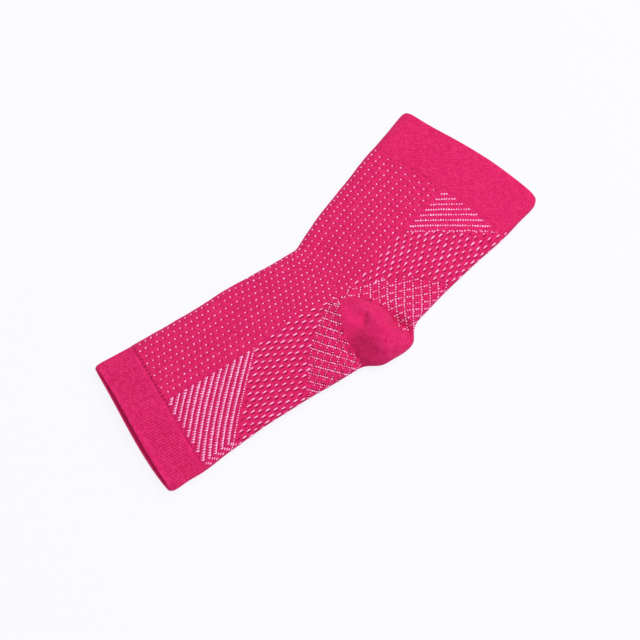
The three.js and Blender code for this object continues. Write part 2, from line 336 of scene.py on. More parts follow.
def knitPatch(name, wales, rows, offset, uv, masks):
    # a grid of faces laid on the knit, with its knit coordinates as UV map and its masks as attributes
    bpy.ops.object.select_all(action="DESELECT")
    wales, rows, offset, *uv = np.broadcast_arrays(wales, rows, offset, *uv)
    rowCount, columnCount = wales.shape
    bpy.ops.mesh.primitive_grid_add(x_subdivisions=columnCount - 1, y_subdivisions=rowCount - 1, size=2)
    patch = bpy.context.active_object
    patch.name = patch.data.name = name
    mesh = patch.data
    flat = np.empty(3 * len(mesh.vertices), np.float32)
    mesh.vertices.foreach_get("co", flat)
    flat = flat.reshape(-1, 3)
    column = np.rint((flat[:, 0] + 1) / 2 * (columnCount - 1)).astype(int)
    row = np.rint((flat[:, 1] + 1) / 2 * (rowCount - 1)).astype(int)
    place, _, _, outward = onKnit(wales[row, column], rows[row, column])
    place = place + kinkPlace + outward * offset[row, column][:, None]
    mesh.vertices.foreach_set("co", (place * mm).astype(np.float32).ravel())
    corners = np.empty(len(mesh.loops), np.int32)
    mesh.loops.foreach_get("vertex_index", corners)
    cornerUv = np.stack([uv[0][row, column], uv[1][row, column]], axis=1)[corners]
    mesh.uv_layers.active.data.foreach_set("uv", cornerUv.astype(np.float32).ravel())
    for mask, inside in masks.items():
        layer = mesh.attributes.new(mask, "FLOAT", "POINT")
        inside = np.broadcast_to(inside, wales.shape)[row, column]
        layer.data.foreach_set("value", inside.astype(np.float32))
    mesh.update()
    return patch


joinReach = 0.02  # millimetres between the edges of patches that are joined
smoothAngle = 55  # degrees


def closeAndThicken(name, patches, wall):
    # one closed wall of knit from patches of its right side
    bpy.ops.object.select_all(action="DESELECT")
    for patch in patches:
        patch.select_set(True)
    bpy.context.view_layer.objects.active = patches[0]
    if len(patches) > 1:
        bpy.ops.object.join()
    sheet = bpy.context.active_object
    sheet.name = sheet.data.name = name
    for _ in range(2):  # slots for the right side and the reverse
        bpy.ops.object.material_slot_add()
    bpy.ops.object.mode_set(mode="EDIT")
    bpy.ops.mesh.select_all(action="SELECT")
    bpy.ops.mesh.remove_doubles(threshold=joinReach * mm)
    bpy.ops.object.mode_set(mode="OBJECT")
    thickness = sheet.modifiers.new("wall", "SOLIDIFY")
    thickness.thickness = wall * mm
    thickness.offset = -1
    thickness.material_offset = 1  # the reverse side of the knit
    thickness.material_offset_rim = 1
    bpy.ops.object.modifier_apply(modifier="wall")
    bpy.ops.object.shade_smooth_by_angle(angle=math.radians(smoothAngle))
    print(name + ":", len(sheet.data.polygons), "faces")
    return sheet


# Sleeve body: a foot tube and an ankle tube that share the instep and leave the heel open
sleeveBody = {
    "wall": 1.2,
    "columns": 210,
    "footRows": 118,
    "ankleRows": 86,
    "firstRow": -14.79,
    "lastRow": 38.49,
    "rowLength": 3.35,  # of one dot row along the tube
    "ankleSink": 0.04,  # how far the edge at the ankle cuff turns in
}


def knitWale(wales, rows):
    # the dotted panel is stretched wider on the foot than on the ankle
    folded = foldedWales(wales)
    stretch = patternZones["dotWales"] / np.interp(rows, *patternZones["dotPitch"])
    counted = np.where(folded < panelEdge, panelEdge + (folded - panelEdge) * stretch, folded)
    return np.where(wales > sideWales, allWales - counted, counted)


def patternMasks(wales, courses):
    # which pattern the knit carries at each place, as shares from 0 to 1
    folded = foldedWales(wales)
    onSole = folded > panelEdge - patternZones["soleMargin"]
    footNet, ankleNet = zoneLine("footNetEdge", folded), zoneLine("ankleNetEdge", folded)
    footEdge, ankleEdge = zoneLine("footDiagonal", folded), zoneLine("ankleDiagonal", folded)
    footPits, anklePits = footEdge + patternZones["footPitStart"], ankleEdge + patternZones["anklePitEnd"]
    middle = patternZones["heelTopRow"] * coursesPerRow
    jointEnd, jointFade = patternZones["toeJointFade"]
    return {
        "dotted": ~onSole,
        "footStripes": onSole & (courses < footEdge) & (folded < paleYarn["foldWale"]),
        "footDashes": onSole & (courses > footPits) & (courses < footNet),
        "footNet": onSole & (courses >= footNet) & (courses < middle),
        "ankleNet": onSole & (courses > middle) & (courses <= ankleNet),
        "ankleDashes": onSole & (courses > ankleNet) & (courses < anklePits),
        "toeJoint": (courses < patternZones["firstCourse"]) * np.clip((jointEnd - folded) / jointFade, 0, 1),
    }


def knitCoordinates(wales, courses, masks):
    # wales and courses as the pale stitches count them, without the bends of the laid knit
    rows = courses / coursesPerRow
    folded = foldedWales(wales)
    moveWales, moveCourses = np.zeros(courses.shape), stitchDrift(wales, rows)
    for name, bend in bends.items():
        bentWales, bentCourses = bend(folded, courses)
        moveWales = np.where(masks[name], bentWales, moveWales)
        moveCourses = np.where(masks[name], bentCourses, moveCourses)
    moveWales = np.where(wales > sideWales, -moveWales, moveWales)
    return knitWale(wales, rows) - moveWales, courses - moveCourses


def makeSleeveBody():
    wales = np.linspace(0, allWales, sleeveBody["columns"] + 1)
    starts, ends = heelOpening(wales)
    patches = []
    spans = (
        ("foot", np.full(len(wales), sleeveBody["firstRow"]), starts, sleeveBody["footRows"]),
        ("ankle", ends, np.full(len(wales), sleeveBody["lastRow"]), sleeveBody["ankleRows"]),
    )
    for part, low, high, count in spans:
        share = np.linspace(0, 1, count + 1)[:, None]
        rows = low + (high - low) * share
        length = sleeveBody["rowLength"]
        offset = undulation(wales, rows)
        offset += edgeSink((rows - sleeveBody["firstRow"]) * length)
        offset += edgeSink((sleeveBody["lastRow"] - rows) * length, depth=sleeveBody["ankleSink"])
        courses = rows * coursesPerRow
        masks = patternMasks(wales, courses)
        uv = knitCoordinates(wales, courses, masks)
        patches.append(knitPatch("sleeve_knit_" + part, wales, rows, offset, uv, masks))
    return closeAndThicken("sleeve_body_knit", patches, sleeveBody["wall"])


# Heel pocket: the plain pouch in the heel opening, with fine ribs that run round its dimple
heelPocket = {
    "wall": 1.2,
    "columns": 280,
    "rows": 100,
    "ribPitch": 1.16,
    "ribCentre": (5.2, -51.7),
    "smoothFacet": (-0.9, -50.8, 8),  # place and radius of the part without ribs
    "valley": (-5.5, -66.5, 13),  # place and radius of the painted shade in the valley on the foot side of the heel
    "fadePower": 4,  # how sharply these two end
    "valleyRibs": 0.6,  # share of the ribs that is lost in the valley
    "ribTurns": (33, 24),  # degrees in plan, above and below the line that leaves the dimple
    "courseHeight": 0.85,
    "turnRadius": 8,  # at which courses are counted round the dimple
}


def makeHeelPocket():
    wales = np.linspace(dottedWales, allWales - dottedWales, heelPocket["columns"] + 1)
    starts, ends = heelOpening(wales)
    share = np.linspace(0, 1, heelPocket["rows"] + 1)[:, None]
    rows = starts + (ends - starts) * share
    place = onKnit(wales, rows)[0]
    centreX, centreY = heelPocket["ribCentre"]
    fromX, fromY = place[..., 0] - centreX, place[..., 1] - centreY
    upper, lower = [math.radians(turn) for turn in heelPocket["ribTurns"]]
    turn = np.where(fromY * math.cos(lower) > fromX * math.sin(lower), upper, lower)
    along = fromX * np.cos(turn) + fromY * np.sin(turn)
    beside = np.abs(fromY * np.cos(turn) - fromX * np.sin(turn))
    ribField = np.where(along > 0, beside, np.hypot(fromX, fromY))
    edge = np.minimum(share, 1 - share) * (ends - starts) * sleeveBody["rowLength"]
    across = np.where(along > 0, along, np.arctan2(beside, along) * -heelPocket["turnRadius"])
    uv = (ribField / heelPocket["ribPitch"], across / heelPocket["courseHeight"])

    def spot(name):
        x, y, radius = heelPocket[name]
        away = np.hypot(place[..., 0] - x, place[..., 1] - y) / radius
        return np.exp(-(away ** heelPocket["fadePower"]))

    # the valley mask puts painted shade, and fewer ribs, where the heel's fabric dips on the foot side
    masks = {"valley": spot("valley")}
    masks["ribbed"] = (1 - spot("smoothFacet")) * (1 - heelPocket["valleyRibs"] * masks["valley"])
    patch = knitPatch("heel_knit_patch", wales, rows, edgeSink(edge), uv, masks)
    return closeAndThicken("heel_pocket_knit", [patch], heelPocket["wall"])


# Toe cuff: ribs along the tube, each a little different, and a rolled lip
toeCuff = {
    "wall": 1.5,
    "ribs": 112,
    "columnsPerRib": 8,
    "rows": 26,
    "lipRow": -21,
    "jointRow": -14.81,
    "ribDepth": 0.26,
    "groovePower": 4,  # how narrow the grooves are
    "ribSpread": 0.2,  # unevenness of that depth, and the least and greatest share of it
    "ribLimits": (0.3, 1.6),
    "lipFade": 2,  # lengths over which the ribs fade out, and the share of them that is left plain
    "jointFade": 1.6,
    "fadeStart": 0.4,
    "lipRoll": 0.25,
}


def cuffRows(cuff):
    # courses lie closer at the lip and at the joint, where the edge turns
    share = (1 - np.cos(np.linspace(0, np.pi, cuff["rows"] + 1)))[:, None] / 2
    low, high = sorted((cuff["lipRow"], cuff["jointRow"]))
    rows = low + (high - low) * share
    length = sleeveBody["rowLength"]
    fromLip, fromJoint = [np.abs(rows - cuff[edge]) * length for edge in ("lipRow", "jointRow")]
    turnIn = edgeSink(fromLip, depth=cuff["lipRoll"]) + edgeSink(fromJoint)
    return rows, turnIn, fromLip, fromJoint


def makeToeCuff():
    wales = np.linspace(0, allWales, toeCuff["ribs"] * toeCuff["columnsPerRib"] + 1)
    rows, turnIn, fromLip, fromJoint = cuffRows(toeCuff)
    ribPlace = wales / allWales * toeCuff["ribs"]
    ribNumber = np.floor(ribPlace).astype(int) % toeCuff["ribs"]
    unevenDepth = 1 + toeCuff["ribSpread"] * dice.standard_normal(toeCuff["ribs"])[ribNumber]
    groove = np.cos(np.pi * ribPlace) ** toeCuff["groovePower"]
    start = toeCuff["fadeStart"]
    fade = np.clip(fromLip / toeCuff["lipFade"] - start, 0, 1)
    fade = fade * np.clip(fromJoint / toeCuff["jointFade"] - start, 0, 1)
    offset = turnIn - toeCuff["ribDepth"] * np.clip(unevenDepth, *toeCuff["ribLimits"]) * groove * fade
    uv = (ribPlace, rows * coursesPerRow)
    patch = knitPatch("toe_rib_patch", wales, rows, offset, uv, {"ribbed": fade})
    return closeAndThicken("toe_cuff_rib", [patch], toeCuff["wall"])


# Ankle cuff: plain double knit
ankleCuff = {
    "wall": 1.5,
    "columns": 336,
    "rows": 40,
    "lipRow": 46.2,
    "jointRow": 38.51,
    "lipRoll": 0.25,
    "unevenness": 0.6,  # share of the body's
}


def makeAnkleCuff():
    wales = np.linspace(0, allWales, ankleCuff["columns"] + 1)
    rows, turnIn, _, _ = cuffRows(ankleCuff)
    offset = turnIn + ankleCuff["unevenness"] * undulation(wales, rows)
    patch = knitPatch("ankle_knit_patch", wales, rows, offset, (wales, rows * coursesPerRow), {})
    return closeAndThicken("ankle_cuff_knit", [patch], ankleCuff["wall"])


# Pale yarn: single stitches, floats and lines of stitches that stand on the pink knit
paleYarn = {
    "legLength": 0.5,  # half sizes of one leg of a stitch
    "legWidth": 0.2,
    "legHeight": 0.2,
    "legLean": 16,  # degrees
    "legApart": 0.16,
    "lift": 0.05,  # of a stitch's middle above the knit
    "placeSpread": 0.05,
    "sizeLimits": (-2, 1.5),  # of the uneven sizes, in spreads
    "foldClearance": 1.5,  # stitches within this many wales of the instep fold aren't mirrored
    "latticeReach": (-60, 120),  # steps of a lattice that are tried
    "bendRounds": 12,
    "soleStart": 1.6,  # the sole's lattices reach this many wales into the dotted panel
    "dotColumns": 10,
    "firstDotWale": 0.2,  # dots nearer the instep fold are left out
    "heelClearance": 0.7,  # courses between the foot net and the heel
    "heelCorner": ((73, 84), (0.7, 7)),  # wales, and courses between the ankle net and the heel there
    "dashBend": ((22, 46, 58), (0, 2.3, 2.7), 0.35),  # courses, lean there, and wales for each course of it
    "ankleDashBend": ((84, 96), (-1.1, 0), -0.7),
    "footNetDashes": ((0.05, 0), (0.38, 0), (0.72, 0)),  # shares of the two steps of the net's lattice
    "footNetDots": ((0, 0.33), (0, 0.67)),
    "ankleNetDots": ((0.97, 0), (0.35, 0), (0.62, 0), (0, 0.38), (0, 0.7)),
    "ankleNetBend": ((-0.09, 2.57, -2.84), (0.67, -3.18, -0.4)),  # of wales and of courses
    "ankleNetMiddle": (62, 88),
    "ankleNetReach": 20,
    "ankleNetLimit": 1.2,  # reaches from the middle at which the bend stops growing
    "stripeFirstWale": 40.8,
    "stripeStep": 1.08,  # wales from stitch to stitch
    "toothShift": (0, -0.25),  # wales and courses from the middle of a stripe to its teeth and to its core
    "coreShift": (0, 0.25),
    "stripePitch": 4.8,  # courses
    "stripeStart": 0.84,
    "stripeEndGap": 1,  # courses left free before the diagonal
    "ankleStripes": 8,
    "brokenShare": 0.8,  # of the last stripe only this share of the stitches is there
    "brokenSpread": 0.35,
    "ankleStripeRows": (24, 400),  # first dot row that is searched for the stripes, and places on the way
    "ankleStripeTurn": -32.9,  # degrees in plan
    "ankleStripeTop": (73.0, -11.9),  # a place on the top line, from the kink
    "ankleStripeGap": 3.05,  # millimetres
    "ankleStripeArch": 0.9,
    "foldWale": 79.4,  # here each foot stripe ends in a short row of ticks
    "stripeBend": ((40, 58, 76, 79.4), (0.3, 0.8, 0.8, 1.1)),  # wales, and the foot stripes' lean there
    "foldTicks": 3,
    "foldTickStart": (0.4, 2.0),  # wales and courses from the end of the stripe
    "foldTickStep": (0.95, 1.15),
    "speckLine": ((40, 58, 66, 80), (2.5, 0.6, -0.3, -1.1)),  # wales, and courses past the foot stripes
    "apex": (  # stitches round the top of the heel
        (42.5, 58.9),
        (43.2, 57.4),
        (43.8, 58.5),
        (42.3, 56.5),
        (41, 62.4),
        (41.6, 63.6),
        (42.3, 66),
        (43, 67.3),
    ),
}

# Lattices of the stitches and of the painted pit shade beside them: a start and two steps, in wales and
# courses
stripeWale, stripeStep = paleYarn["stripeFirstWale"], paleYarn["stripeStep"]
lattices = {
    "dotted": ((panelEdge, 0), (patternZones["dotWales"], coursesPerRow / 2, 0, coursesPerRow)),
    "footStripes": (
        (stripeWale, paleYarn["stripeStart"] - stripeWale),
        (stripeStep, -stripeStep, 0, paleYarn["stripePitch"]),
    ),
    "footDashes": ((0.91, 1.0), (3.93, -0.13, 2.03, 3.77)),
    "footNet": ((1.96, -0.71), (3.02, 2.33, -2.89, 3.9)),
    "ankleNet": ((61.27, 88.96), (3.18, 4.79, -2.79, 3.19)),
    "ankleDashes": ((2.29, 1.84), (4.04, 0.5, 2.14, 3.93)),
    "toeJoint": ((0, -58.2), (2.45, 0, 0, 50)),
}


def modelStitch(name):
    # two plump legs that lean together, modelled once
    bpy.ops.object.select_all(action="DESELECT")
    bpy.ops.mesh.primitive_uv_sphere_add(segments=6, ring_count=4, radius=1, rotation=(math.pi / 2, 0, 0))
    stitch = bpy.context.active_object
    stitch.name = name
    bpy.ops.object.transform_apply(location=False, rotation=True, scale=False)
    bpy.ops.object.mode_set(mode="EDIT")
    bpy.ops.mesh.select_all(action="SELECT")
    legSize = (paleYarn["legWidth"], paleYarn["legLength"], paleYarn["legHeight"])
    lean = math.radians(paleYarn["legLean"])
    middle = (0, 0, 0)
    bpy.ops.transform.resize(value=legSize, center_override=middle)
    bpy.ops.transform.rotate(value=lean, orient_axis="Z", center_override=middle)
    bpy.ops.transform.translate(value=(paleYarn["legApart"], 0, 0))
    bpy.ops.mesh.duplicate()
    bpy.ops.transform.resize(value=(-1, 1, 1), center_override=middle)
    bpy.ops.mesh.select_all(action="SELECT")
    bpy.ops.mesh.normals_make_consistent(inside=False)
    bpy.ops.object.mode_set(mode="OBJECT")
    return stitch


def ankleNetBend(wales, courses):
    # wales and courses by which the ankle net bends away from a straight lattice
    reach, limit = paleYarn["ankleNetReach"], paleYarn["ankleNetLimit"]
    a, b = [
        np.clip((places - middle) / reach, -limit, limit)
        for places, middle in zip((wales, courses), paleYarn["ankleNetMiddle"])
    ]
    return [p * a * a + q * a * b + r * b * b for p, q, r in paleYarn["ankleNetBend"]]


def dashBend(wales, courses, bend="dashBend"):
    # near the heel the dashes bend away from their straight lattice
    stops, leans, sideways = paleYarn[bend]
    lean = np.interp(courses, stops, leans)
    return sideways * lean, lean + stitchDrift(wales, courses / coursesPerRow)


def ankleDashBend(wales, courses):
    return dashBend(wales, courses, "ankleDashBend")


def stripeBend(wales, courses):
    # the foot stripes lean towards the ankle
    lean = np.interp(wales, *paleYarn["stripeBend"])
    return np.zeros_like(lean), lean + stitchDrift(wales, courses / coursesPerRow)


bends = {
    "footStripes": stripeBend,
    "footDashes": dashBend,
    "ankleNet": ankleNetBend,
    "ankleDashes": ankleDashBend,
}


def heelCourses(wales):
    # courses where the heel opening starts and ends, for any wale of the sole panel
    stops = np.linspace(dottedWales, sideWales, 2 * (sideWales - dottedWales) + 1)
    return [np.interp(wales, stops, edge) * coursesPerRow for edge in heelOpening(stops)]


def dotPlaces():
    places = []
    for column in range(1, paleYarn["dotColumns"] + 1):
        courses = np.arange(patternZones["firstCourse"] + 1, patternZones["lastCourse"])
        shift = coursesPerRow / 2 * column  # against the columns beside it
        courses = courses[np.rint(courses - shift).astype(int) % coursesPerRow == 0]
        rows = np.rint(courses) / coursesPerRow
        wales = panelEdge - column * np.interp(rows, *patternZones["dotPitch"])
        places.append(np.stack([wales, rows * coursesPerRow + stitchDrift(wales, rows)], axis=1))
    places = np.concatenate(places)
    return places[places[:, 0] > paleYarn["firstDotWale"]]


def zoneSpans(wales):
    # courses where the stitches of each zone of the sole panel start and end
    footNet, ankleNet = zoneLine("footNetEdge", wales), zoneLine("ankleNetEdge", wales)
    heelStart, heelEnd = heelCourses(wales)
    return {
        "footDashes": (zoneLine("footDiagonal", wales) + patternZones["footDashStart"], footNet),
        "footNet": (footNet, heelStart - paleYarn["heelClearance"]),
        "ankleNet": (heelEnd + np.interp(wales, *paleYarn["heelCorner"]), ankleNet),
        "ankleDashes": (ankleNet, zoneLine("ankleDiagonal", wales) + patternZones["ankleDashEnd"]),
    }


def latticePlaces(zone, shares=((0, 0),)):
    # places of a zone's lattice on one side of the tube, moved by shares of its two steps
    start, step = [np.array(numbers) for numbers in lattices[zone]]
    count = np.arange(*paleYarn["latticeReach"])
    i, j = np.meshgrid(count, count, indexing="ij")
    places = []
    for first, second in shares:
        startWale, startCourse = start + first * step[:2] + second * step[2:]
        wales = straightWales = startWale + i * step[0] + j * step[2]
        courses = straightCourses = startCourse + i * step[1] + j * step[3]
        if zone in bends:
            for _ in range(paleYarn["bendRounds"]):  # a bend depends on the bent places: close in on it
                moveWales, moveCourses = bends[zone](wales, courses)
                wales, courses = straightWales + moveWales, straightCourses + moveCourses
        else:
            courses = courses + stitchDrift(wales, courses / coursesPerRow)
        low, high = zoneSpans(wales)[zone]
        kept = (courses > low) & (courses < high) & (wales > panelEdge - paleYarn["soleStart"])
        kept &= wales < sideWales + 0.01  # with the wale of the fold itself
        places.append(np.stack([wales[kept], courses[kept]], axis=1))
    return np.concatenate(places)


def ankleStripeCourses(wale):
    # courses where one wale crosses the ankle stripes
    startRow, count = paleYarn["ankleStripeRows"]
    rows = np.linspace(startRow, sleeveBody["lastRow"], count)
    place = onKnit(np.full(len(rows), wale), rows)[0]
    turn = math.radians(paleYarn["ankleStripeTurn"])
    topX, topY = paleYarn["ankleStripeTop"]
    part = (wale - panelEdge) / (sideWales - panelEdge)
    arch = paleYarn["ankleStripeArch"] * 4 * part * (1 - part)  # highest midway
    height = (place[:, 1] - topY) * math.cos(turn) - (place[:, 0] - topX) * math.sin(turn) - arch
    lines = -paleYarn["ankleStripeGap"] * np.arange(paleYarn["ankleStripes"])
    order = np.argsort(height)
    return np.interp(lines, height[order], rows[order], left=rows[0], right=rows[-1]) * coursesPerRow


def footStripeCourses(wale):
    # courses where one wale crosses the foot stripes
    courses = paleYarn["stripeStart"] + paleYarn["stripePitch"] * np.arange(*paleYarn["latticeReach"]) - wale
    courses = courses + stripeBend(wale, courses)[1]
    return courses[courses < zoneLine("footDiagonal", wale) - paleYarn["stripeEndGap"]]


def stripePlaces():
    # lines of single stitches by the toe cuff and under the ankle cuff, with loose specks where they end
    onFoot, onAnkle, specks = [], [], []
    firstCourse = patternZones["firstCourse"]
    for wale in np.arange(stripeWale, paleYarn["foldWale"], stripeStep):
        onFoot.extend((wale, course) for course in footStripeCourses(wale) if course > firstCourse)
    for wale in np.arange(stripeWale, sideWales):
        specks.append((wale, zoneLine("footDiagonal", wale) + np.interp(wale, *paleYarn["speckLine"])))
        *whole, broken = ankleStripeCourses(wale)
        ankleStart, ankleEnd = zoneLine("ankleDiagonal", wale), patternZones["lastCourse"]
        onAnkle.extend((wale, course) for course in whole if ankleStart < course < ankleEnd)
        if broken < ankleEnd and dice.random() < paleYarn["brokenShare"]:
            specks.append((wale, broken + dice.normal(0, paleYarn["brokenSpread"])))
    return np.array(onFoot), np.array(onAnkle), np.array(specks)


def foldTickPlaces():
    # the rows of ticks on the sole fold
    places = []
    wale = paleYarn["foldWale"]
    start, step = np.array(paleYarn["foldTickStart"]), np.array(paleYarn["foldTickStep"])
    for tick in range(paleYarn["foldTicks"]):
        fromWale, fromCourse = start + tick * step
        courses = footStripeCourses(wale) + fromCourse
        places.extend((wale + fromWale, course) for course in courses[courses > patternZones["firstCourse"]])
    return np.array(places)


def plantStitches(name, stitch, groups):
    # copies of one stitch on both layers, as one joined mesh
    count = len(stitch.data.vertices)
    local = np.array([vertex.co for vertex in stitch.data.vertices])
    localFaces = [list(face.vertices) for face in stitch.data.polygons]
    points, faces, tones = [], [], []
    for places, width, length, slant, spread in groups:
        mirrored = places[places[:, 0] > paleYarn["foldClearance"]].copy()
        mirrored[:, 0] = allWales - mirrored[:, 0]
        both = np.concatenate([places, mirrored])
        nudge = paleYarn["placeSpread"] * dice.standard_normal(both.shape)
        wales, courses = (both + nudge).T
        rows = courses / coursesPerRow
        place, side, along, outward = onKnit(wales, rows)
        rise = undulation(np.mod(wales, allWales), rows) + paleYarn["lift"]
        place = place + kinkPlace + outward * rise[:, None]
        size = 1 + spread * np.clip(dice.standard_normal(len(both)), *paleYarn["sizeLimits"])
        slants = np.where(np.arange(len(both)) < len(places), slant, -slant)[:, None]
        along = unit(along + side * slants)
        side = np.cross(along, outward)
        for i in range(len(both)):
            turn = np.stack([side[i] * width, along[i] * length, outward[i]]) * size[i]
            base = count * len(points)
            points.append(place[i] + local @ turn)
            tones.extend([dice.random()] * count)
            faces.extend([corner + base for corner in face] for face in localFaces)
    mesh = bpy.data.meshes.new(name)
    mesh.from_pydata((np.concatenate(points) * mm).tolist(), [], faces)
    mesh.polygons.foreach_set("use_smooth", np.ones(len(mesh.polygons), bool))
    mesh.attributes.new("tone", "FLOAT", "POINT").data.foreach_set("value", tones)
    mesh.update()
    piece = bpy.data.objects.new(name, mesh)
    bpy.context.scene.collection.objects.link(piece)
    print(name + ":", len(points), "stitches")
    return piece


# Node helpers
def feed(tree, node, inputs):
    # each input gets a link or a constant
    for name, source in inputs.items():
        if isinstance(source, bpy.types.NodeSocket):
            tree.links.new(source, node.inputs[name])
        else:
            node.inputs[name].default_value = source


def addNode(tree, kind, inputs, **settings):
    # the settings come first, because they decide which sockets there are
    node = tree.nodes.new(kind)
    for name, value in settings.items():
        setattr(node, name, value)
    feed(tree, node, inputs)
    return node


def mathOf(tree, operation, first, second=0.5, clamp=False):
    node = addNode(tree, "ShaderNodeMath", {0: first, 1: second}, operation=operation, use_clamp=clamp)
    return node.outputs[0]


def mixOf(tree, share, first, second, kind="RGBA"):
    node = addNode(tree, "ShaderNodeMix", {"Factor": share, "A": first, "B": second}, data_type=kind)
    return node.outputs["Result"]


def attributeOf(tree, name):
    return addNode(tree, "ShaderNodeAttribute", {}, attribute_name=name).outputs["Fac"]


def startGroup(name, inputs, outputs):
    group = bpy.data.node_groups.new(name, "ShaderNodeTree")
    for side, sockets in (("INPUT", inputs), ("OUTPUT", outputs)):
        for label, kind in sockets.items():
            group.interface.new_socket(label, in_out=side, socket_type="NodeSocket" + kind)
    given, result = addNode(group, "NodeGroupInput", {}), addNode(group, "NodeGroupOutput", {})
    return group, given.outputs, result


gapPower = 3  # how narrow the gaps between loops are


def makeLoopsGroup():
    # knit loops: two legs of a V in every cell of the coordinates, with gaps for painted shade and a tone
    # for each loop
    group, given, result = startGroup(
        "knitLoops",
        {"Coordinates": "Vector", "Rib": "Float"},
        {"Height": "Float", "Gap": "Float", "Tone": "Float"},
    )
    split = addNode(group, "ShaderNodeSeparateXYZ", {0: given["Coordinates"]})
    inCell = mathOf(group, "FRACT", split.outputs["X"])
    away = mathOf(group, "ABSOLUTE", mathOf(group, "SUBTRACT", inCell, 0.5))
    legs = mathOf(group, "SINE", mathOf(group, "MULTIPLY", away, 2 * math.pi))
    slant = mathOf(group, "ADD", split.outputs["Y"], away)
    ridge = mathOf(group, "SINE", mathOf(group, "MULTIPLY", mathOf(group, "FRACT", slant), math.pi))
    loop = mathOf(group, "MULTIPLY", legs, ridge)
    rib = mathOf(group, "SINE", mathOf(group, "MULTIPLY", inCell, math.pi))
    height = mixOf(group, given["Rib"], loop, rib, "FLOAT")
    gap = mathOf(group, "POWER", mathOf(group, "SUBTRACT", 1, height), gapPower)
    cell = addNode(group, "ShaderNodeVectorMath", {0: given["Coordinates"]}, operation="FLOOR")
    speck = addNode(group, "ShaderNodeTexWhiteNoise", {"Vector": cell.outputs[0]}, noise_dimensions="3D")
    feed(group, result, {"Height": height, "Gap": gap, "Tone": speck.outputs["Value"]})
    return group


pitEdge = (0.6, 1.2)  # a pit fades out between these shares of its size


def makePitShadeGroup():
    # mask of the painted pit shade on a two-step lattice of stitches: 1 in a pit, 0 away from it
    inputs = ["Coordinates", "Start", "Offset", "Size"]
    inputs += ["First axis", "Second axis", "First step", "Second step"]
    group, given, result = startGroup("latticePitShade", {label: "Vector" for label in inputs}, {"Pit": "Float"})

    def vectorOf(operation, first, second):
        node = addNode(group, "ShaderNodeVectorMath", {0: first}, operation=operation)
        feed(group, node, {"Scale" if operation == "SCALE" else 1: second})
        return node.outputs["Value" if operation == "DOT_PRODUCT" else "Vector"]

    fromStart = vectorOf("SUBTRACT", given["Coordinates"], given["Start"])
    nearest = []
    for which in ("First", "Second"):
        count = vectorOf("DOT_PRODUCT", fromStart, given[which + " axis"])
        left = mathOf(group, "SUBTRACT", count, mathOf(group, "ROUND", count))
        nearest.append(vectorOf("SCALE", given[which + " step"], left))
    local = vectorOf("SUBTRACT", vectorOf("ADD", *nearest), given["Offset"])
    scaled = vectorOf("DIVIDE", local, given["Size"])
    away = addNode(group, "ShaderNodeVectorMath", {0: scaled}, operation="LENGTH").outputs["Value"]
    fade = {"Value": away, "From Min": pitEdge[0], "From Max": pitEdge[1], "To Min": 1, "To Max": 0}
    edge = addNode(group, "ShaderNodeMapRange", fade, interpolation_type="SMOOTHSTEP")
    feed(group, result, {"Pit": edge.outputs["Result"]})
    return group


# Noise in the yarn: scale and detail, and how much of the mottling goes into the light tone
yarnNoise = {
    "mottle": (260, 3),
    "fuzz": (2600, 2),
    "paleFibres": (900, 3),
    "lightShare": 0.5,
}


def noiseOf(tree, name):
    places = addNode(tree, "ShaderNodeTexCoord", {}).outputs["Object"]
    scale, detail = yarnNoise[name]
    inputs = {"Vector": places, "Scale": scale, "Detail": detail}
    return addNode(tree, "ShaderNodeTexNoise", inputs).outputs["Fac"]


def makeYarnGroup():
    # colour of dyed yarn: loop tone, painted shade in the gaps between loops and in rib grooves, and slow
    # mottling
    inputs = {label: "Color" for label in ("Colour", "Deep", "Light")}
    inputs.update({label: "Float" for label in ("Gap", "Tone", "Shade", "Gap shade share", "Tone share")})
    group, given, result = startGroup("dyedYarn", inputs, {"Colour": "Color", "Fuzz": "Float"})
    mottle = mathOf(group, "MULTIPLY", noiseOf(group, "mottle"), yarnNoise["lightShare"])
    lightShare = mathOf(group, "MULTIPLY", given["Tone"], mottle)
    lighter = mixOf(group, lightShare, given["Colour"], given["Light"])
    toneShare = mathOf(group, "MULTIPLY", mathOf(group, "SUBTRACT", 1, given["Tone"]), given["Tone share"])
    gapShare = mathOf(group, "MULTIPLY", given["Gap"], given["Gap shade share"])
    knitShare = mathOf(group, "ADD", gapShare, toneShare)
    deepShare = mathOf(group, "ADD", knitShare, given["Shade"], clamp=True)
    colour = mixOf(group, deepShare, lighter, given["Deep"])
    feed(group, result, {"Colour": colour, "Fuzz": noiseOf(group, "fuzz")})
    return group


loopsGroup = makeLoopsGroup()
pitShadeGroup = makePitShadeGroup()
yarnGroup = makeYarnGroup()

yarnColours = {
    "body": (0.765, 0.0128, 0.134, 1),
    "toe": (0.64, 0.012, 0.12, 1),
    "heel": (0.61, 0.0106, 0.111, 1),
    "ankle": (0.645, 0.0098, 0.11, 1),
    # deep: the darker tone of the yarn, and the colour of the painted shade in gaps, pits and the heel's
    # valley
    "deep": (0.24, 0.001, 0.03, 1),
    "light": (0.86, 0.06, 0.22, 1),
    # reverse side, lighter than the yarn itself: painted light that brightens the shaded inside of the toe
    # mouth
    "reverse": (0.97, 0.028, 0.2, 1),
    "pale": (0.95, 0.50, 0.84, 1),
    "paleLight": (0.99, 0.68, 0.95, 1),
    "paleDeep": (0.88, 0.22, 0.45, 1),
}
yarnSurface = {
    "Roughness": 0.9,
    "Specular IOR Level": 0.12,
    "Sheen Weight": 0.1,
    "Sheen Roughness": 0.5,
    "Sheen Tint": (1, 0.35, 0.55, 1),
}


def startMaterial(name):
    material = bpy.data.materials.new(name)
    material.use_nodes = True
    shader = material.node_tree.nodes["Principled BSDF"]
    feed(material.node_tree, shader, yarnSurface)
    return material, material.node_tree, shader


